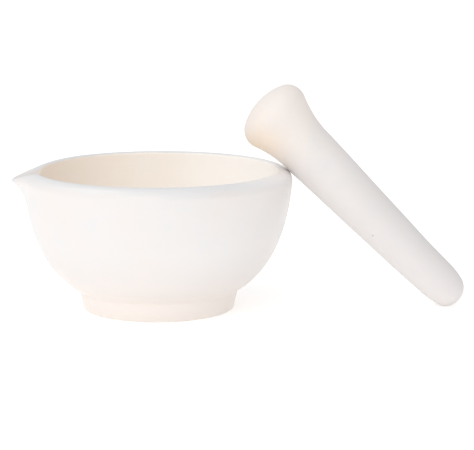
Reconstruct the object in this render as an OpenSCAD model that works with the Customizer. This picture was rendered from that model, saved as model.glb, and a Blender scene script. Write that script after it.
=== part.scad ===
// Laboratory mortar with its pestle leaning on the rim.
// Millimetres, +Z up. The origin is the centre of the mortar's foot, on the surface that
// it stands on. The pouring spout points to -X and the pestle leans on the rim at +X.

/* [Bowl] */
// Outside diameter of the rim, without the spout
rim_diameter = 120; // [112:1:128]
// Height from the foot's underside to the top of the rim
bowl_height = 63; // [60:1:66]
// Thickness of the wall at the rim
rim_thickness = 6.5; // [6:0.5:8]
// Radius that rounds the rim's outer edge
rim_rounding = 5; // [4:0.5:5]
// Fullness of the belly, where 2 is an ellipse and more is squarer
belly_power = 2.88; // [2.7:0.02:3]
// Height above the rim at which the belly's curve would turn upright
belly_centre_above_rim = 20.1; // [18:0.1:22]
// Depth of the belly's curve below that centre
belly_depth = 80.9; // [79:0.1:83]
// Height of the lowest point of the hollow
hollow_floor_height = 10.5; // [9:0.5:13]
// Height above the rim at which the hollow's curve would turn upright
hollow_centre_above_rim = 7; // [6:0.5:10]
// Fullness of the hollow
hollow_power = 2.5; // [2.3:0.05:2.6]

/* [Foot] */
// Outside diameter of the foot at its underside
foot_diameter = 67.8; // [65:0.2:70]
// Outside diameter of the foot where it meets the belly
foot_top_diameter = 70.8; // [70:0.2:72]
// Radius that rounds the foot's lower edge
foot_rounding = 1.2; // [0.8:0.1:2]
// Radius of the hollow corner between the foot and the belly
foot_fillet = 1.7; // [1.2:0.1:2.2]
// Diameter of the recess under the foot
recess_diameter = 54; // [50:1:56]
// Depth of the recess under the foot
recess_depth = 2.5; // [2:0.1:3.5]

/* [Spout] */
// How far the spout's tip stands out beyond the rim
spout_reach = 5.3; // [4.5:0.1:6]
// How far the spout's tip lies below the top of the rim
spout_drop = 4.1; // [3.5:0.1:4.5]
// Angle round the rim from the spout's centre to where its side ends
spout_half_angle = 22; // [20:1:26]
// Height of the wall over which the spout flares out
spout_flare_height = 18; // [16:0.5:20]
// Radius of the rounded edge at the spout's tip
spout_tip_rounding = 1.1; // [1:0.1:1.4]
// Radius of the channel along the spout
channel_radius = 9; // [8:0.5:10]
// Slope of the channel, down towards the inside of the bowl
channel_slope = 15; // [12:1:18]

/* [Pestle] */
// Length of the pestle from the crown of its head to the end of its handle
pestle_length = 128; // [122:0.5:132]
// Diameter of the head
head_diameter = 32.8; // [31:0.2:34]
// Radius of the head's domed grinding face
dome_radius = 27; // [24:0.5:30]
// Radius that rounds the shoulder between the dome and the neck
shoulder_radius = 8.1; // [7:0.1:9]
// Radius of the hollow curve from the shoulder down to the handle
neck_radius = 50; // [40:1:60]
// Diameter that the handle's taper would reach at the crown of the head
taper_diameter = 26.5; // [26.4:0.1:28]
// Loss of radius for each millimetre along the handle
taper_rate = 0.036; // [0.03:0.001:0.037]
// Radius of the ball that the handle ends in
end_radius = 8.3; // [7.8:0.1:8.4]
// Radius of the long curve between the handle's taper and the ball
end_blend_radius = 37; // [30:1:45]
// Angle between the pestle and the surface it stands on
lean_angle = 45.3; // [44:0.1:47]
// Clearance between the pestle and the rim it leans on
rest_gap = 0.25; // [0.2:0.05:0.4]

/* [Hidden] */
$fn = 96;

arc_steps = 8;
curve_steps = 22;
rim_radius = rim_diameter / 2;
porcelain = [0.93, 0.9, 0.86];
bisque = [0.92, 0.88, 0.82];

// Points of an arc, without its first point. Angles are in degrees.
function arc(centre, radius, from, to, steps = arc_steps) =
    [for (i = [1:steps]) let (a = from + (to - from) * i / steps)
        centre + radius * [cos(a), sin(a)]];

// A superellipse: its radius at a depth below its centre, both as parts of its half axes,
// the slope of that radius, and the depth that has a given radius
function curve_radius(depth, power) = pow(1 - pow(depth, power), 1 / power);
function curve_slope(depth, power) =
    pow(depth, power - 1) * pow(1 - pow(depth, power), 1 / power - 1);
function curve_depth(radius, power) = pow(1 - pow(radius, power), 1 / power);

// ---- outside of the bowl --------------------------------------------------------------
rim_centre = [rim_radius - rim_rounding, bowl_height - rim_rounding];
belly_centre = bowl_height + belly_centre_above_rim;
belly_top = rim_centre.y - 0.5;
belly_top_depth = (belly_centre - belly_top) / belly_depth;
wall_lean = atan(rim_radius / belly_depth * curve_slope(belly_top_depth, belly_power));
belly_radius = (rim_centre.x + rim_rounding * cos(wall_lean))
    / curve_radius(belly_top_depth, belly_power);
function belly(z) =
    belly_radius * curve_radius((belly_centre - z) / belly_depth, belly_power);

// ---- the hollow corner between the foot and the belly ----------------------------------
corner_radius = foot_top_diameter / 2 + foot_fillet / 2;
corner_depth = curve_depth(corner_radius / belly_radius, belly_power);
corner_slope = atan(belly_depth / (belly_radius * curve_slope(corner_depth, belly_power)));
corner_height = belly_centre - belly_depth * corner_depth;
fillet_centre = [corner_radius, corner_height]
    + foot_fillet * [sin(corner_slope), -cos(corner_slope)];

// ---- the hollow -----------------------------------------------------------------------
inner_rounding = rim_thickness - rim_rounding;
hollow_top = bowl_height - inner_rounding;
hollow_centre = bowl_height + hollow_centre_above_rim;
hollow_depth = hollow_centre - hollow_floor_height;
hollow_radius = (rim_radius - rim_thickness)
    / curve_radius((hollow_centre - hollow_top) / hollow_depth, hollow_power);
// Steps are even in angle, so that they are close together where the curve is tight
function hollow_point(angle) = let (depth = sin(angle))
    [hollow_radius * curve_radius(depth, hollow_power), hollow_centre - hollow_depth * depth];
hollow_start_angle = asin((hollow_centre - hollow_top) / hollow_depth);

foot_base_radius = foot_diameter / 2 - foot_rounding;
recess_slope_width = 1.5;
bowl_outline = concat(
    [[0, recess_depth],
        [recess_diameter / 2 - recess_slope_width, recess_depth],
        [recess_diameter / 2, 0],
        [foot_base_radius, 0]],
    arc([foot_base_radius, foot_rounding], foot_rounding, -90, 0),
    [fillet_centre - [foot_fillet, 0]],
    arc(fillet_centre, foot_fillet, 180, 90 + corner_slope),
    [for (i = [1:curve_steps]) let (t = i / curve_steps,
            z = corner_height + (belly_top - corner_height) * pow(t, 1.6))
        [belly(z), z]],
    arc(rim_centre, rim_rounding, -wall_lean, 90),
    arc([rim_centre.x, hollow_top], inner_rounding, 90, 180),
    [for (i = [1:curve_steps]) hollow_point(
        hollow_start_angle + (90 - hollow_start_angle) * i / curve_steps)]);

// ---- the spout ------------------------------------------------------------------------
// The flare is lofted through upright sections round the bowl's axis. Its share of the full
// spout falls smoothly to nothing at each side, where the section hides inside the wall.
spout_steps = 12;
flare_steps = 6;
hidden_depth = 0.3;
flare_bottom = bowl_height - spout_flare_height;
tip_centre = [rim_radius + spout_reach - spout_tip_rounding,
    bowl_height - spout_drop - spout_tip_rounding];
inside_radius = rim_centre.x - 0.5;
function share(angle) = pow(cos(90 * angle / spout_half_angle), 4);
function blend(a, b, part) = a + (b - a) * part;
function edge_centre(part) = blend(rim_centre, tip_centre, part);
function edge_radius(part) =
    blend(rim_rounding - hidden_depth, spout_tip_rounding, part);
// The wall's curve, pushed out more and more towards the edge, is the flare's underside
function flare_wall(t) = belly(blend(flare_bottom, belly_top, t)) - hidden_depth;
function flare_point(t, part) = let (
        edge = edge_centre(part) + edge_radius(part) * [cos(wall_lean), -sin(wall_lean)])
    [flare_wall(t) + (edge.x - flare_wall(1)) * pow(t, 3), blend(flare_bottom, edge.y, t)];
function flare_section(part) = concat(
    [[inside_radius, edge_centre(part).y], [inside_radius, flare_bottom]],
    [for (i = [0:flare_steps]) flare_point(i / flare_steps, part)],
    arc(edge_centre(part), edge_radius(part), -wall_lean, 90));
function around(point, angle) = [-point.x * cos(angle), point.x * sin(angle), point.y];

module spout_flare() {
    angles = [for (i = [-spout_steps:spout_steps]) spout_half_angle * i / spout_steps];
    sections = [for (a = angles) [for (p = flare_section(share(a))) around(p, a)]];
    count = len(sections[0]);
    last = len(sections) - 1;
    polyhedron(
        points = [for (s = sections) each s],
        faces = concat(
            [[for (j = [0:count - 1]) j]],
            [[for (j = [count - 1:-1:0]) last * count + j]],
            [for (i = [0:last - 1], j = [0:count - 1]) let (k = (j + 1) % count)
                each [[i * count + j, (i + 1) * count + j, (i + 1) * count + k],
                    [i * count + j, (i + 1) * count + k, i * count + k]]]),
        convexity = 4);
}

// A round channel that runs down from the spout's tip into the bowl
module spout_channel() {
    channel_length = 40;
    tip_cut = 0.2;
    translate([-tip_centre.x, 0, bowl_height - spout_drop - tip_cut])
        rotate([0, 90 + channel_slope, 0])
            translate([-channel_radius, 0, -channel_length / 2])
                cylinder(r = channel_radius, h = channel_length);
}

module mortar() {
    color(porcelain) difference() {
        union() {
            rotate_extrude() polygon(bowl_outline);
            spout_flare();
        }
        spout_channel();
    }
}

// ---- the pestle -----------------------------------------------------------------------
// Its outline is drawn with x as the radius and y as the distance from the head's crown.
taper_angle = atan(taper_rate);
dome_centre = dome_radius;
shoulder_x = head_diameter / 2 - shoulder_radius;
shoulder_y = dome_centre - sqrt(pow(dome_radius - shoulder_radius, 2) - pow(shoulder_x, 2));
// The neck's centre is one neck radius off the taper's line and touches the shoulder
function taper_x(y) = taper_diameter / 2 - taper_rate * y;
neck_offset = neck_radius / cos(taper_angle);
neck_reach = shoulder_radius + neck_radius;
neck_side = taper_x(shoulder_y) + neck_offset - shoulder_x;
neck_along = taper_rate * neck_side * pow(cos(taper_angle), 2)
    + sqrt(pow(neck_reach * cos(taper_angle), 2)
        - pow(neck_side * pow(cos(taper_angle), 2), 2));
neck_y = shoulder_y + neck_along;
neck_x = taper_x(neck_y) + neck_offset;
shoulder_end_angle = atan2(neck_y - shoulder_y, neck_x - shoulder_x);
dome_end_angle = atan2(shoulder_y - dome_centre, shoulder_x);
// The long curve's centre is one blend radius inside the taper's line, at blend_x(y), and its
// circle holds the end's ball, touching it on the inside
end_y = pestle_length - end_radius;
function blend_x(y) = taper_x(y) - end_blend_radius / cos(taper_angle);
blend_linear = end_y + taper_rate * blend_x(0);
blend_square = 1 + pow(taper_rate, 2);
blend_constant = pow(blend_x(0), 2) + pow(end_y, 2) - pow(end_blend_radius - end_radius, 2);
blend_y = (blend_linear - sqrt(pow(blend_linear, 2) - blend_square * blend_constant))
    / blend_square;
blend_end_angle = atan2(end_y - blend_y, -blend_x(blend_y));

pestle_outline = concat(
    arc([0, dome_centre], dome_radius, -90, dome_end_angle),
    arc([shoulder_x, shoulder_y], shoulder_radius, dome_end_angle, shoulder_end_angle),
    arc([neck_x, neck_y], neck_radius, 180 + shoulder_end_angle, 180 - taper_angle),
    arc([blend_x(blend_y), blend_y], end_blend_radius, taper_angle, blend_end_angle),
    arc([0, end_y], end_radius, blend_end_angle, 90),
    [[0, 0]]);

// Along the plane of the lean, the handle's end stands on the surface and the taper's lower
// line, whose angle to the surface is line_angle, clears the rounded rim by rest_gap.
line_angle = lean_angle - taper_angle;
end_place = rim_centre.x + (rim_rounding + rest_gap + taper_x(end_y) * cos(taper_angle)
    + (rim_centre.y - end_radius) * cos(line_angle)) / sin(line_angle);

module pestle() {
    color(bisque)
        translate([end_place, 0, end_radius])
            rotate([0, lean_angle - 90, 0])
                translate([0, 0, end_y])
                    mirror([0, 0, 1])
                        rotate_extrude() polygon(pestle_outline);
}

mortar();
pestle();
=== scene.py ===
"""Visual model and studio scene of a laboratory mortar and its pestle.

Both pieces follow the formulas of the CAD part, with the softened edges, uneven glaze
and grain of fired porcelain. The formulas are in millimetres, and every vertex is written
in metres, in the frame of the CAD part.
"""

import math

import bmesh
import bpy
from mathutils import Matrix, Vector, noise


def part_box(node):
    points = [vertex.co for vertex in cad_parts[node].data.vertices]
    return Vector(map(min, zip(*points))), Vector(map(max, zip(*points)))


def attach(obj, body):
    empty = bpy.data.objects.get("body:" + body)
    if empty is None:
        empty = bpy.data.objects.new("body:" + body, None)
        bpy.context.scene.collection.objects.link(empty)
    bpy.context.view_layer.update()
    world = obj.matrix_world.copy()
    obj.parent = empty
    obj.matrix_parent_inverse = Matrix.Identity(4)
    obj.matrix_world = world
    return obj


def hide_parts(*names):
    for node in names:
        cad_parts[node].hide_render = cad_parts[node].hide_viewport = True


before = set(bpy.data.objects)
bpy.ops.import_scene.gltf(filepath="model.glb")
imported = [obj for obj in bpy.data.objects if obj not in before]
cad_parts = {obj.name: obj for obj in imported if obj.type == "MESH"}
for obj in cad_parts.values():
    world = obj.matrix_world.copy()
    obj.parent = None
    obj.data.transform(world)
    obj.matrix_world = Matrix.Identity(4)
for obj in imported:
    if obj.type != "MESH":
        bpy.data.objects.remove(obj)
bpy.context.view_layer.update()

MM = 0.001

# ---- sizes in millimetres: some from the frame, the rest as in the CAD part --------------

mortar_low, mortar_high = (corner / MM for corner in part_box("mortar"))
pestle_low, pestle_high = (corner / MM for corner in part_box("pestle"))

RIM_RADIUS = round(mortar_high.y)
BOWL_HEIGHT = round(mortar_high.z, 2)
RIM_ROUNDING = 5.0
INNER_ROUNDING = 1.5
BELLY_POWER = 2.88
BELLY_DEPTH = 80.9
BELLY_CENTRE = BOWL_HEIGHT + 20.1
HOLLOW_POWER = 2.5
HOLLOW_FLOOR = 10.5
HOLLOW_CENTRE = BOWL_HEIGHT + 7

FOOT_RADIUS = 33.9
FOOT_TOP_RADIUS = 35.4
FOOT_ROUNDING = 1.2
FOOT_FILLET = 1.7
RECESS_RADIUS = 27.0
RECESS_DEPTH = 2.5
RECESS_ROUNDING = 0.8

SPOUT_REACH = round(-mortar_low.x, 2) - RIM_RADIUS
SPOUT_DROP = 4.1
SPOUT_HALF_ANGLE = math.radians(22)
SPOUT_FLARE_HEIGHT = 18.0
SPOUT_TIP_ROUNDING = 1.1
SPOUT_SLOPE = math.radians(15)
# On the far side of the spout the rim sags a little, over a wider angle than the spout's
RIM_SAG = 0.9
RIM_SAG_START = math.radians(8)
RIM_SAG_END = math.radians(50)

PESTLE_LENGTH = 128.0
HEAD_RADIUS = 16.4
DOME_RADIUS = 27.0
SHOULDER_RADIUS = 8.1
NECK_RADIUS = 50.0
TAPER_RADIUS = 13.25
TAPER_RATE = 0.036
END_RADIUS = 8.3
END_BLEND_RADIUS = 37.0
END_Y = PESTLE_LENGTH - END_RADIUS
LEAN = math.radians(45.3)


def point(x, y):
    return Vector((x, y))


def on_circle(centre, radius, angle):
    return centre + radius * point(math.cos(angle), math.sin(angle))


def arc(centre, radius, start, end, steps):
    """Points of an arc after its first point, with the angles in radians."""
    return [on_circle(centre, radius, start + (end - start) * i / steps)
            for i in range(1, steps + 1)]


def line(start, end, steps):
    """Points of a straight stretch after its first point."""
    return [start.lerp(end, i / steps) for i in range(1, steps + 1)]


def smooth(edge_low, edge_high, value):
    """0 below edge_low, 1 above edge_high, and a smooth rise between them."""
    t = min(max((value - edge_low) / (edge_high - edge_low), 0.0), 1.0)
    return t * t * (3 - 2 * t)


# ---- the mortar's outline ----------------------------------------------------------------

def curve_radius(depth, power):
    return (1 - depth ** power) ** (1 / power)


def curve_slope(depth, power):
    return depth ** (power - 1) * (1 - depth ** power) ** (1 / power - 1)


RIM_CENTRE = point(RIM_RADIUS - RIM_ROUNDING, BOWL_HEIGHT - RIM_ROUNDING)
BELLY_TOP = RIM_CENTRE.y - 0.5
_top_depth = (BELLY_CENTRE - BELLY_TOP) / BELLY_DEPTH
WALL_LEAN = math.atan(RIM_RADIUS / BELLY_DEPTH * curve_slope(_top_depth, BELLY_POWER))
BELLY_RADIUS = ((RIM_CENTRE.x + RIM_ROUNDING * math.cos(WALL_LEAN))
                / curve_radius(_top_depth, BELLY_POWER))
FLARE_BOTTOM = BOWL_HEIGHT - SPOUT_FLARE_HEIGHT
TIP_CENTRE = point(RIM_RADIUS + SPOUT_REACH - SPOUT_TIP_ROUNDING,
                   BOWL_HEIGHT - SPOUT_DROP - SPOUT_TIP_ROUNDING)


def belly(z):
    return BELLY_RADIUS * curve_radius((BELLY_CENTRE - z) / BELLY_DEPTH, BELLY_POWER)


HOLLOW_TOP = BOWL_HEIGHT - INNER_ROUNDING
HOLLOW_DEPTH = HOLLOW_CENTRE - HOLLOW_FLOOR
HOLLOW_START = math.asin((HOLLOW_CENTRE - HOLLOW_TOP) / HOLLOW_DEPTH)
HOLLOW_RADIUS = ((RIM_CENTRE.x - INNER_ROUNDING)
                 / curve_radius(math.sin(HOLLOW_START), HOLLOW_POWER))
CHANNEL_END = 0.42


def hollow(t):
    """Point of the hollow's curve, from the rim at t = 0 to the lowest point at t = 1."""
    depth = math.sin(HOLLOW_START + (math.pi / 2 - HOLLOW_START) * t)
    return point(HOLLOW_RADIUS * curve_radius(min(depth, 1.0), HOLLOW_POWER),
                 HOLLOW_CENTRE - HOLLOW_DEPTH * depth)


RECESS_STEPS = 12
RECESS_ARC_STEPS = 5
FOOT_FACE_STEPS = 4
FOOT_EDGE_RINGS = 4


def foot_and_belly():
    """From the middle of the recess, under the foot, and up to where the flare starts."""
    corner_radius = FOOT_TOP_RADIUS + FOOT_FILLET / 2
    depth = (1 - (corner_radius / BELLY_RADIUS) ** BELLY_POWER) ** (1 / BELLY_POWER)
    slope = math.atan(BELLY_DEPTH / (BELLY_RADIUS * curve_slope(depth, BELLY_POWER)))
    corner = point(corner_radius, BELLY_CENTRE - BELLY_DEPTH * depth)
    fillet = corner + FOOT_FILLET * point(math.sin(slope), -math.cos(slope))
    recess_edge = point(RECESS_RADIUS + RECESS_ROUNDING, RECESS_ROUNDING)
    recess_corner = point(RECESS_RADIUS - RECESS_ROUNDING, RECESS_DEPTH - RECESS_ROUNDING)
    ball = point(FOOT_RADIUS - FOOT_ROUNDING, FOOT_ROUNDING)
    points = line(point(0, RECESS_DEPTH), point(recess_corner.x, RECESS_DEPTH), RECESS_STEPS)
    points += arc(recess_corner, RECESS_ROUNDING, math.pi / 2, 0, RECESS_ARC_STEPS)
    points += arc(recess_edge, RECESS_ROUNDING, math.pi, 1.5 * math.pi, RECESS_ARC_STEPS)
    points += line(point(recess_edge.x, 0), point(ball.x, 0), FOOT_FACE_STEPS)
    points += arc(ball, FOOT_ROUNDING, -math.pi / 2, 0, 10)
    points += line(points[-1], fillet - point(FOOT_FILLET, 0), 7)
    points += arc(fillet, FOOT_FILLET, math.pi, math.pi / 2 + slope, 7)
    steps = 44
    for i in range(1, steps + 1):
        z = corner.y + (FLARE_BOTTOM - corner.y) * (i / steps) ** 1.5
        points.append(point(belly(z), z))
    return points


def spout_share(angle):
    """The spout's share in the outline: 1 at its tip, and 0 at and beyond its sides."""
    if abs(angle) >= SPOUT_HALF_ANGLE:
        return 0.0
    return math.cos(math.pi / 2 * angle / SPOUT_HALF_ANGLE) ** 4


def rim_edge(angle):
    """Centre and radius of the rim's rounded edge, from plain rim to the spout's tip."""
    share = spout_share(angle)
    sag = RIM_SAG * (1 - share) * (1 - smooth(RIM_SAG_START, RIM_SAG_END, angle))
    if angle < 0:
        sag = 0.0
    centre = RIM_CENTRE.lerp(TIP_CENTRE, share) - point(0, sag)
    return centre, RIM_ROUNDING + (SPOUT_TIP_ROUNDING - RIM_ROUNDING) * share


def flare(angle):
    """The wall under the rim, which the spout pushes out towards its edge."""
    centre, radius = rim_edge(angle)
    edge = on_circle(centre, radius, -WALL_LEAN)
    steps = 22
    points = []
    for i in range(1, steps + 1):
        t = i / steps
        wall = belly(FLARE_BOTTOM + (BELLY_TOP - FLARE_BOTTOM) * t)
        points.append(point(wall + (edge.x - belly(BELLY_TOP)) * t ** 3,
                            FLARE_BOTTOM + (edge.y - FLARE_BOTTOM) * t))
    return points


def plain_inside(steps):
    """The inner edge of the rim and the hollow's wall, down to where the spout ends."""
    centre = point(RIM_CENTRE.x, HOLLOW_TOP)
    turn = steps // 3
    points = [point(RIM_CENTRE.x, BOWL_HEIGHT)]
    points += arc(centre, INNER_ROUNDING, math.pi / 2, math.pi, turn)
    points += [hollow(CHANNEL_END * i / (steps - turn)) for i in range(1, steps - turn + 1)]
    return points


def channel_inside(steps):
    """The spout's channel: a curve from its tip down into the wall of the hollow."""
    start = on_circle(TIP_CENTRE, SPOUT_TIP_ROUNDING, math.pi / 2 + SPOUT_SLOPE)
    end = hollow(CHANNEL_END)
    along_wall = (hollow(CHANNEL_END - 0.02) - end).normalized()
    pull = 9.0
    controls = [start, start - pull * point(math.cos(SPOUT_SLOPE), math.sin(SPOUT_SLOPE)),
                end + pull * along_wall, end]
    points = []
    for i in range(steps + 1):
        t = i / steps
        weights = ((1 - t) ** 3, 3 * t * (1 - t) ** 2, 3 * t * t * (1 - t), t ** 3)
        points.append(sum((w * c for w, c in zip(weights, controls)), point(0, 0)))
    return points


INSIDE_STEPS = 30
PLAIN = plain_inside(INSIDE_STEPS)
CHANNEL = channel_inside(INSIDE_STEPS)
FOOT_AND_BELLY = foot_and_belly()
EDGE_STEPS = 18
HOLLOW_STEPS = 44
LOWER_HOLLOW = [hollow(CHANNEL_END + (1 - CHANNEL_END) * i / HOLLOW_STEPS)
                for i in range(1, HOLLOW_STEPS)]


def mortar_section(angle):
    """The whole outline at one place round the rim, without its two ends on the axis."""
    share = spout_share(angle)
    centre, radius = rim_edge(angle)
    end_angle = math.pi / 2 + SPOUT_SLOPE * share
    edge = arc(centre, radius, -WALL_LEAN, end_angle, EDGE_STEPS)
    gap = edge[-1] - PLAIN[0].lerp(CHANNEL[0], share)
    inside = []
    for i in range(1, INSIDE_STEPS + 1):
        fade = (1 - i / INSIDE_STEPS) ** 2
        inside.append(PLAIN[i].lerp(CHANNEL[i], share) + gap * fade)
    return FOOT_AND_BELLY + flare(angle) + edge + inside + LOWER_HOLLOW


# ---- mesh helpers ------------------------------------------------------------------------

def revolved_mesh(name, rings, first_pole, last_pole):
    """A closed mesh through rings of points, with one point to close it at each end."""
    bm = bmesh.new()
    first = bm.verts.new(first_pole)
    grid = [[bm.verts.new(p) for p in ring] for ring in rings]
    last = bm.verts.new(last_pole)
    count = len(rings[0])
    for j in range(count):
        k = (j + 1) % count
        bm.faces.new((first, grid[0][j], grid[0][k]))
        bm.faces.new((last, grid[-1][k], grid[-1][j]))
        for low, high in zip(grid, grid[1:]):
            bm.faces.new((low[j], high[j], high[k], low[k]))
    bmesh.ops.recalc_face_normals(bm, faces=bm.faces)
    for face in bm.faces:
        face.smooth = True
    mesh = bpy.data.meshes.new(name)
    bm.to_mesh(mesh)
    bm.free()
    piece = bpy.data.objects.new(name, mesh)
    bpy.context.scene.collection.objects.link(piece)
    return piece


def set_attribute(piece, name, values):
    """Stores one number for each vertex, which the material reads by name."""
    attribute = piece.data.attributes.new(name, "FLOAT", "POINT")
    attribute.data.foreach_set("value", values)


def unevenness(position, size, amount):
    """A small smooth random push that depends only on the place."""
    return amount * noise.noise(position / size)


# ---- the mortar --------------------------------------------------------------------------

ROUND_STEPS = 320


def mortar_angles():
    """Angles from the spout, closer together near it."""
    even = [2 * math.pi * j / ROUND_STEPS - math.pi for j in range(ROUND_STEPS)]
    return [a - 0.5 * math.sin(a) for a in even]


def mortar_point(section_point, angle):
    r, z = section_point
    place = Vector((-r * math.cos(angle), r * math.sin(angle), z))
    lift = smooth(3, 12, z)
    push = unevenness(place, 34, 0.16) + unevenness(place + Vector((90, 0, 0)), 13, 0.05)
    near_pestle = 1 - smooth(2.6, 3.0, abs(angle))
    scale = 1 + push * lift * near_pestle / RIM_RADIUS
    return Vector((place.x * scale, place.y * scale, z)) * MM


def make_mortar():
    angles = mortar_angles()
    sections = [mortar_section(a) for a in angles]
    rings = [[mortar_point(section[i], a) for section, a in zip(sections, angles)]
             for i in range(len(sections[0]))]
    piece = revolved_mesh("mortar_bowl", rings, (0, 0, RECESS_DEPTH * MM),
                          (0, 0, HOLLOW_FLOOR * MM))
    # "bare" rises from 0 to 1 a few rings past the rim's top, and "foot" marks the recess, the
    # face that the mortar stands on and the first rings of its rounded edge
    first_inside = len(FOOT_AND_BELLY) + len(flare(math.pi)) + EDGE_STEPS
    bare = [0.0]
    foot = [1.0]
    foot_rings = RECESS_STEPS + 2 * RECESS_ARC_STEPS + FOOT_FACE_STEPS + FOOT_EDGE_RINGS
    for i in range(len(rings)):
        bare += [smooth(1, 9, i - first_inside)] * ROUND_STEPS
        foot += [1.0 if i < foot_rings else 0.0] * ROUND_STEPS
    set_attribute(piece, "bare", bare + [1.0])
    set_attribute(piece, "foot", foot + [0.0])
    return piece


# ---- the pestle --------------------------------------------------------------------------

# The head is pressed a little out of square, and the handle's end lies off the taper's axis
HEAD_TILT = math.radians(1.7)
HEAD_OFFSET = 0.5
HEAD_FADE = (10, 34)
END_OFFSET = 0.57
END_FADE = (95, 124)
# The side of the head that faces the bowl, a little towards the front, gets painted warm light
# bounced from the bowl's hollow
BOUNCE_ANGLE = math.pi + 0.35
PESTLE_ROUND_STEPS = 200


def pestle_outline():
    """Radius and distance from the crown, from the head down to the handle's end."""
    taper = math.atan(TAPER_RATE)
    dome = point(0, DOME_RADIUS)
    shoulder_x = HEAD_RADIUS - SHOULDER_RADIUS
    inner = DOME_RADIUS - SHOULDER_RADIUS
    shoulder = point(shoulder_x, DOME_RADIUS - math.sqrt(inner ** 2 - shoulder_x ** 2))
    offset = NECK_RADIUS / math.cos(taper)
    reach = SHOULDER_RADIUS + NECK_RADIUS
    side = TAPER_RADIUS - TAPER_RATE * shoulder.y + offset - shoulder.x
    square = math.cos(taper) ** 2
    along = (TAPER_RATE * side * square
             + math.sqrt((reach * math.cos(taper)) ** 2 - (side * square) ** 2))
    neck_y = shoulder.y + along
    neck = point(TAPER_RADIUS - TAPER_RATE * neck_y + offset, neck_y)
    dome_end = math.atan2(shoulder.y - dome.y, shoulder.x)
    turn = math.atan2(neck.y - shoulder.y, neck.x - shoulder.x)

    # The long curve that leads from the taper into the handle's rounded end
    ball = point(0, END_Y)
    crown_x = TAPER_RADIUS - END_BLEND_RADIUS / math.cos(taper)
    linear = ball.y + TAPER_RATE * crown_x
    constant = crown_x ** 2 + ball.y ** 2 - (END_BLEND_RADIUS - END_RADIUS) ** 2
    blend_y = square * (linear - math.sqrt(linear ** 2 - constant / square))
    blend = point(crown_x - TAPER_RATE * blend_y, blend_y)
    blend_turn = math.atan2(ball.y - blend.y, -blend.x)

    points = arc(dome, DOME_RADIUS, -math.pi / 2, dome_end, 22)
    points += arc(shoulder, SHOULDER_RADIUS, dome_end, turn, 20)
    points += arc(neck, NECK_RADIUS, math.pi + turn, math.pi - taper, 24)
    points += line(points[-1], on_circle(blend, END_BLEND_RADIUS, taper), 64)
    points += arc(blend, END_BLEND_RADIUS, taper, blend_turn, 10)
    points += arc(ball, END_RADIUS, blend_turn, math.pi / 2, 24)[:-1]
    return points


def make_pestle():
    outline = pestle_outline()
    # The end's lowest point stays on the surface, and the taper stays clear of the rim
    drop = END_OFFSET * math.cos(LEAN)
    shift = drop / math.tan(LEAN - math.atan(TAPER_RATE))
    end = Vector((pestle_high.x - END_RADIUS + shift, 0, END_RADIUS - drop))
    along = Vector((-math.cos(LEAN), 0, math.sin(LEAN)))
    outward = Vector((math.sin(LEAN), 0, math.cos(LEAN)))
    sideways = Vector((0, 1, 0))
    count = PESTLE_ROUND_STEPS

    def place(x, y, angle):
        head = 1 - smooth(*HEAD_FADE, y)
        toward = x * math.cos(angle)
        aside = head * HEAD_OFFSET + smooth(*END_FADE, y) * END_OFFSET
        y = y - head * toward * math.tan(HEAD_TILT)
        away = (toward + aside) * outward + x * math.sin(angle) * sideways
        spot = end + (END_Y - y) * along + away
        push = unevenness(spot, 26, 0.12) * smooth(0, 10, x) * smooth(4, 20, END_Y - y)
        return (spot + away.normalized() * push) * MM if away.length else spot * MM

    rings = [[place(p.x, p.y, 2 * math.pi * j / count) for j in range(count)]
             for p in outline]
    piece = revolved_mesh("pestle_club", rings, place(0, 0, 0), place(0, PESTLE_LENGTH, 0))
    head = [1.0]
    bowl_bounce = [0.0]
    for p in outline:
        head += [1 - smooth(14, 34, p.y)] * count
        # Where the head gets painted warm bounce light from the bowl
        across = smooth(2, 11, p.y) * (1 - smooth(13, 27, p.y))
        bowl_bounce += [across * smooth(0.35, 1.0, math.cos(2 * math.pi * j / count - BOUNCE_ANGLE))
                  for j in range(count)]
    set_attribute(piece, "head", head + [0.0])
    set_attribute(piece, "bowl_bounce", bowl_bounce + [0.0])
    return piece


# ---- material helpers --------------------------------------------------------------------

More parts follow.
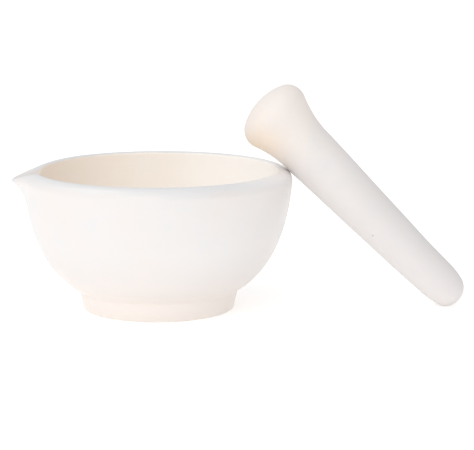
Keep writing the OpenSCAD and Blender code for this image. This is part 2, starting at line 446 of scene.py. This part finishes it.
class Nodes:
    """Short names for the nodes that the materials use."""

    def __init__(self, name):
        self.material = bpy.data.materials.new(name)
        self.material.use_nodes = True
        self.tree = self.material.node_tree
        self.shader = self.tree.nodes["Principled BSDF"]
        coordinates = self.tree.nodes.new("ShaderNodeTexCoord")
        self.place = coordinates.outputs["Object"]

    def link(self, source, target):
        if hasattr(source, "is_output"):
            self.tree.links.new(source, target)
        else:
            target.default_value = source

    def attribute(self, name):
        node = self.tree.nodes.new("ShaderNodeAttribute")
        node.attribute_name = name
        return node.outputs["Fac"]

    def math(self, operation, a, b=0.0, clamp=False):
        node = self.tree.nodes.new("ShaderNodeMath")
        node.operation = operation
        node.use_clamp = clamp
        self.link(a, node.inputs[0])
        self.link(b, node.inputs[1])
        return node.outputs[0]

    def span(self, value, low, high, to_low, to_high):
        """Maps low..high to to_low..to_high, and holds the ends."""
        node = self.tree.nodes.new("ShaderNodeMapRange")
        self.link(value, node.inputs["Value"])
        for socket, number in (("From Min", low), ("From Max", high),
                               ("To Min", to_low), ("To Max", to_high)):
            node.inputs[socket].default_value = number
        return node.outputs["Result"]

    def noise(self, size_mm, detail=3.0, roughness=0.5, distortion=0.0, place=None):
        """Noise whose blotches are about size_mm across, in metres of the object."""
        node = self.tree.nodes.new("ShaderNodeTexNoise")
        self.link(place or self.place, node.inputs["Vector"])
        node.inputs["Scale"].default_value = 1 / (size_mm * MM)
        node.inputs["Detail"].default_value = detail
        node.inputs["Roughness"].default_value = roughness
        node.inputs["Distortion"].default_value = distortion
        return node.outputs["Fac"]

    def coordinate(self, axis):
        """One coordinate of the place on the object, in millimetres."""
        parts = self.tree.nodes.new("ShaderNodeSeparateXYZ")
        self.link(self.place, parts.inputs[0])
        return self.math("MULTIPLY", parts.outputs[axis], 1 / MM)

    def specks(self, spacing_mm, radius_mm, chosen):
        """1 inside a few tiny round specks, with that share of the cells holding one."""
        node = self.tree.nodes.new("ShaderNodeTexVoronoi")
        self.link(self.place, node.inputs["Vector"])
        node.inputs["Scale"].default_value = 1 / (spacing_mm * MM)
        picked = self.tree.nodes.new("ShaderNodeSeparateColor")
        self.link(node.outputs["Color"], picked.inputs["Color"])
        near = self.span(node.outputs["Distance"], 0.6 * radius_mm / spacing_mm,
                         radius_mm / spacing_mm, 1, 0)
        return self.math("MULTIPLY", near,
                         self.math("LESS_THAN", picked.outputs["Red"], chosen))

    def spot(self, centre_mm, radius_mm):
        """0.8 inside one small ball round a point of the object, and 0 outside it."""
        node = self.tree.nodes.new("ShaderNodeVectorMath")
        node.operation = "DISTANCE"
        self.link(self.place, node.inputs[0])
        node.inputs[1].default_value = Vector(centre_mm) * MM
        return self.span(node.outputs["Value"], 0.6 * radius_mm * MM, radius_mm * MM, 0.8, 0)

    def rings(self, width_mm):
        """Noise in rings round the upright axis, as a turning tool leaves them."""
        parts = self.tree.nodes.new("ShaderNodeSeparateXYZ")
        self.link(self.place, parts.inputs[0])
        flat = self.tree.nodes.new("ShaderNodeCombineXYZ")
        self.link(parts.outputs["X"], flat.inputs["X"])
        self.link(parts.outputs["Y"], flat.inputs["Y"])
        length = self.tree.nodes.new("ShaderNodeVectorMath")
        length.operation = "LENGTH"
        self.link(flat.outputs[0], length.inputs[0])
        ring = self.tree.nodes.new("ShaderNodeCombineXYZ")
        self.link(length.outputs["Value"], ring.inputs["X"])
        self.link(parts.outputs["Z"], ring.inputs["Y"])
        return self.noise(width_mm, 2.0, 0.6, 0.0, ring.outputs[0])

    def mix(self, share, a, b):
        node = self.tree.nodes.new("ShaderNodeMix")
        node.data_type = "RGBA"
        self.link(share, node.inputs[0])
        for value, socket in ((a, node.inputs[6]), (b, node.inputs[7])):
            self.link(value if hasattr(value, "is_output") else (*value, 1.0), socket)
        return node.outputs[2]

    def bump(self, height, distance_mm, normal=None):
        node = self.tree.nodes.new("ShaderNodeBump")
        node.inputs["Distance"].default_value = distance_mm * MM
        self.link(height, node.inputs["Height"])
        if normal:
            self.link(normal, node.inputs["Normal"])
        return node.outputs["Normal"]

    def finish(self, colour, roughness, normal):
        self.link(colour, self.shader.inputs["Base Color"])
        self.link(roughness, self.shader.inputs["Roughness"])
        self.link(normal, self.shader.inputs["Normal"])
        return self.material


# ---- materials ---------------------------------------------------------------------------

GLAZE = (0.764, 0.735, 0.716)
GLAZE_WARM = (0.776, 0.722, 0.692)
GLAZE_COOL = (0.736, 0.732, 0.728)
# Painted shade: darker and warmer low on the belly
GLAZE_LOW_SHADED = (0.738, 0.682, 0.648)
# Painted light: brighter round the foot, as lit from the floor
GLAZE_FOOT_LIT = (0.825, 0.763, 0.716)
# Painted shade: greyer and cooler on the top of the rim
GLAZE_RIM_SHADED = (0.735, 0.733, 0.732)
# Painted light: paler rim beside the pestle, over its shade
GLAZE_RIM_LIT = (0.880, 0.850, 0.830)
BISQUE = (0.925, 0.835, 0.745)
BISQUE_PALE = (0.940, 0.880, 0.815)
# Painted light on the lit side of the hollow
BISQUE_LIT = (0.945, 0.930, 0.905)
BISQUE_DARK = (0.880, 0.785, 0.685)
# Painted shade on the shaded side of the hollow
BISQUE_SHADED = (0.865, 0.755, 0.645)
BODY = (0.800, 0.753, 0.728)
BODY_WARM = (0.812, 0.745, 0.700)
BODY_COOL = (0.722, 0.712, 0.706)
# Painted shade on the lower handle beside the bowl
BODY_SHADED = (0.720, 0.684, 0.670)
HEAD = (0.848, 0.765, 0.700)
# Painted warm bounce light on the head's side towards the bowl
HEAD_BOUNCE_LIT = (0.900, 0.775, 0.650)
SPECK = (0.300, 0.230, 0.180)
# A single dark fleck on the front of the handle, in millimetres
PESTLE_SPOT = (95.55, -8.85, 33.7)
SCUFF = (0.600, 0.570, 0.540)


def mortar_material():
    """Satin glaze outside, and bare warm porcelain in the hollow and under the foot."""
    n = Nodes("mortar_porcelain")
    clouds = n.noise(38, 3.0, 0.55)
    patches = n.noise(11, 4.0, 0.6, 0.4)
    grain = n.noise(0.45, 2.0, 0.7)
    glaze = n.mix(n.span(clouds, 0.35, 0.65, 0, 1), GLAZE_WARM, GLAZE)
    glaze = n.mix(n.span(patches, 0.42, 0.7, 0, 0.55), glaze, GLAZE_COOL)
    height = n.coordinate("Z")
    # Darker and warmer low on the belly: painted shade of the underside
    glaze = n.mix(n.span(height, 10, 34, 1, 0), glaze, GLAZE_LOW_SHADED)
    # Brighter round the foot: painted light thrown up from the floor
    glaze = n.mix(n.span(height, 8, 13, 1, 0), glaze, GLAZE_FOOT_LIT)
    # Greyer, cooler top of the rim: painted shade, as less light falls from above
    glaze = n.mix(n.span(height, 59.5, 62.5, 0, 0.8), glaze, GLAZE_RIM_SHADED)
    # Paler rim round the place that the pestle leans on: painted light over the shade that the
    # pestle casts there
    rim_painted_light = n.math("MULTIPLY", n.span(height, 58, 61.5, 0, 1),
                        n.span(n.coordinate("X"), 30, 55, 0, 1))
    glaze = n.mix(rim_painted_light, glaze, GLAZE_RIM_LIT)
    glaze = n.mix(n.specks(9, 0.12, 0.03), glaze, SPECK)

    turned = n.rings(1.6)
    bisque = n.mix(n.span(clouds, 0.35, 0.65, 0, 1), BISQUE, BISQUE_PALE)
    bisque = n.mix(n.span(turned, 0.35, 0.7, 0, 0.12), bisque, BISQUE_DARK)
    bisque = n.mix(n.span(grain, 0.45, 0.75, 0, 0.18), bisque, BISQUE_DARK)
    # Paler towards +X and darker towards the spout: painted light on the lit side of the
    # hollow and painted shade on its shaded side
    painted_light_side = n.span(n.coordinate("X"), -10, 50, 0, 0.9)
    bisque = n.mix(painted_light_side, bisque, BISQUE_LIT)
    bisque = n.mix(n.span(n.coordinate("X"), -20, -52, 0, 0.8), bisque, BISQUE_SHADED)

    # The glaze ends on a slightly wavering line just inside the rim
    waver = n.span(n.noise(6, 2.0), 0.3, 0.7, -0.22, 0.22)
    inside = n.math("ADD", n.attribute("bare"), waver, clamp=True)
    inside = n.span(inside, 0.35, 0.65, 0, 1)
    foot = n.attribute("foot")
    colour = n.mix(inside, glaze, bisque)
    ring = n.mix(n.span(n.noise(3, 4.0, 0.7), 0.45, 0.7, 0, 0.7), BISQUE_PALE, SCUFF)
    colour = n.mix(foot, colour, ring)

    bare = n.math("MAXIMUM", inside, foot)
    glossy = n.span(patches, 0.3, 0.7, 0.30, 0.42)
    matt = n.span(grain, 0.3, 0.7, 0.72, 0.92)
    roughness = n.math("ADD", n.math("MULTIPLY", matt, bare),
                       n.math("MULTIPLY", glossy, n.math("SUBTRACT", 1.0, bare)))

    normal = n.bump(n.noise(9, 2.0), 0.05)
    normal = n.bump(n.noise(1.3, 2.0), 0.010, normal)
    normal = n.bump(n.math("MULTIPLY", turned, bare), 0.012, normal)
    normal = n.bump(n.math("MULTIPLY", grain, bare), 0.02, normal)
    return n.finish(colour, roughness, normal)


def pestle_material():
    """Fine matt porcelain, warmer and grainier on the grinding head."""
    n = Nodes("pestle_porcelain")
    head = n.attribute("head")
    clouds = n.noise(30, 3.0, 0.55)
    patches = n.noise(9, 4.0, 0.6, 0.4)
    grain = n.noise(0.4, 2.0, 0.7)
    colour = n.mix(n.span(clouds, 0.35, 0.65, 0, 1), BODY, BODY_WARM)
    colour = n.mix(n.span(patches, 0.42, 0.7, 0, 0.6), colour, BODY_COOL)
    # A little greyer along the lower handle: painted shade, where the bowl keeps light off it
    colour = n.mix(n.span(n.coordinate("Z"), 78, 45, 0, 0.8), colour, BODY_SHADED)
    worn = n.math("MULTIPLY", head, n.span(patches, 0.3, 0.6, 0.45, 1.0))
    colour = n.mix(n.math("MULTIPLY", worn, 0.8), colour, HEAD)
    # Painted warm bounce light from the bowl on the head's near side
    colour = n.mix(n.math("MULTIPLY", n.attribute("bowl_bounce"), 0.85), colour, HEAD_BOUNCE_LIT)
    colour = n.mix(n.specks(11, 0.22, 0.04), colour, SPECK)
    colour = n.mix(n.spot(PESTLE_SPOT, 0.4), colour, SPECK)
    roughness = n.math("ADD", n.span(grain, 0.3, 0.7, 0.5, 0.62),
                       n.math("MULTIPLY", head, 0.22))
    normal = n.bump(n.noise(7, 2.0), 0.04)
    normal = n.bump(n.noise(1.1, 2.0), 0.008, normal)
    normal = n.bump(n.math("MULTIPLY", grain, n.math("ADD", head, 0.3)), 0.02, normal)
    return n.finish(colour, roughness, normal)


def floor_material():
    """White paper with a little glow, so that it renders as plain white."""
    n = Nodes("floor_paper")
    n.shader.inputs["Base Color"].default_value = (0.96, 0.96, 0.96, 1.0)
    n.shader.inputs["Roughness"].default_value = 0.9
    n.shader.inputs["Emission Color"].default_value = (1.0, 0.985, 0.965, 1.0)
    n.shader.inputs["Emission Strength"].default_value = 0.30
    return n.material


# ---- stage, lights and camera ------------------------------------------------------------

PHOTO_WIDTH = 474
# The camera looks at a point near the middle of the set, and stands 1.35 degrees round the
# mortar's axis from square on, so that the pestle leans slightly away from it
CAMERA_TURN = Matrix.Rotation(math.radians(-1.35), 3, "Z")
CAMERA_TARGET = CAMERA_TURN @ Vector((35.25, 0, 37.38)) * MM
CAMERA_DISTANCE = 1.0
CAMERA_ELEVATION = math.radians(10)
# Image pixels to a millimetre at the target, which sets the focal length
PIXELS_PER_MM = 2.232
SENSOR_WIDTH = 36.0


def make_camera():
    data = bpy.data.cameras.new("camera")
    data.sensor_width = SENSOR_WIDTH
    data.lens = PIXELS_PER_MM * CAMERA_DISTANCE / MM * SENSOR_WIDTH / PHOTO_WIDTH
    data.clip_end = 50
    camera = bpy.data.objects.new("camera", data)
    back = CAMERA_TURN @ Vector((0, -math.cos(CAMERA_ELEVATION), math.sin(CAMERA_ELEVATION)))
    camera.location = CAMERA_TARGET + CAMERA_DISTANCE * back
    camera.rotation_euler = back.to_track_quat("Z", "Y").to_euler()
    bpy.context.scene.collection.objects.link(camera)
    bpy.context.scene.camera = camera


def make_floor():
    half = 8.0
    bm = bmesh.new()
    corners = [(-half, -half), (half, -half), (half, half), (-half, half)]
    bm.faces.new([bm.verts.new((x, y, -0.02 * MM)) for x, y in corners])
    mesh = bpy.data.meshes.new("floor")
    bm.to_mesh(mesh)
    bm.free()
    floor = bpy.data.objects.new("floor", mesh)
    bpy.context.scene.collection.objects.link(floor)
    floor.data.materials.append(floor_material())


def make_area_light(name, direction, distance, size, power):
    data = bpy.data.lights.new(name, "AREA")
    data.size = size
    data.energy = power
    light = bpy.data.objects.new(name, data)
    towards = Vector(direction).normalized()
    light.location = CAMERA_TARGET + distance * towards
    light.rotation_euler = towards.to_track_quat("Z", "Y").to_euler()
    bpy.context.scene.collection.objects.link(light)


def make_lights():
    world = bpy.data.worlds.new("studio")
    world.use_nodes = True
    background = world.node_tree.nodes["Background"]
    background.inputs["Color"].default_value = (0.965, 0.980, 1.0, 1.0)
    background.inputs["Strength"].default_value = 0.76
    bpy.context.scene.world = world
    make_area_light("key", (-0.26, -0.89, 0.37), 1.4, 1.0, 4.0)
    make_area_light("side", (-0.56, -0.1, 0.82), 1.4, 1.0, 4.6)


# ---- the scene ---------------------------------------------------------------------------

scene = bpy.context.scene
scene.view_settings.view_transform = "Standard"
scene.view_settings.look = "None"
make_camera()
make_floor()
make_lights()

bowl = make_mortar()
bowl.data.materials.append(mortar_material())
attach(bowl, "mortar")
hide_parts("mortar")

club = make_pestle()
club.data.materials.append(pestle_material())
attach(club, "pestle")
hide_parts("pestle")
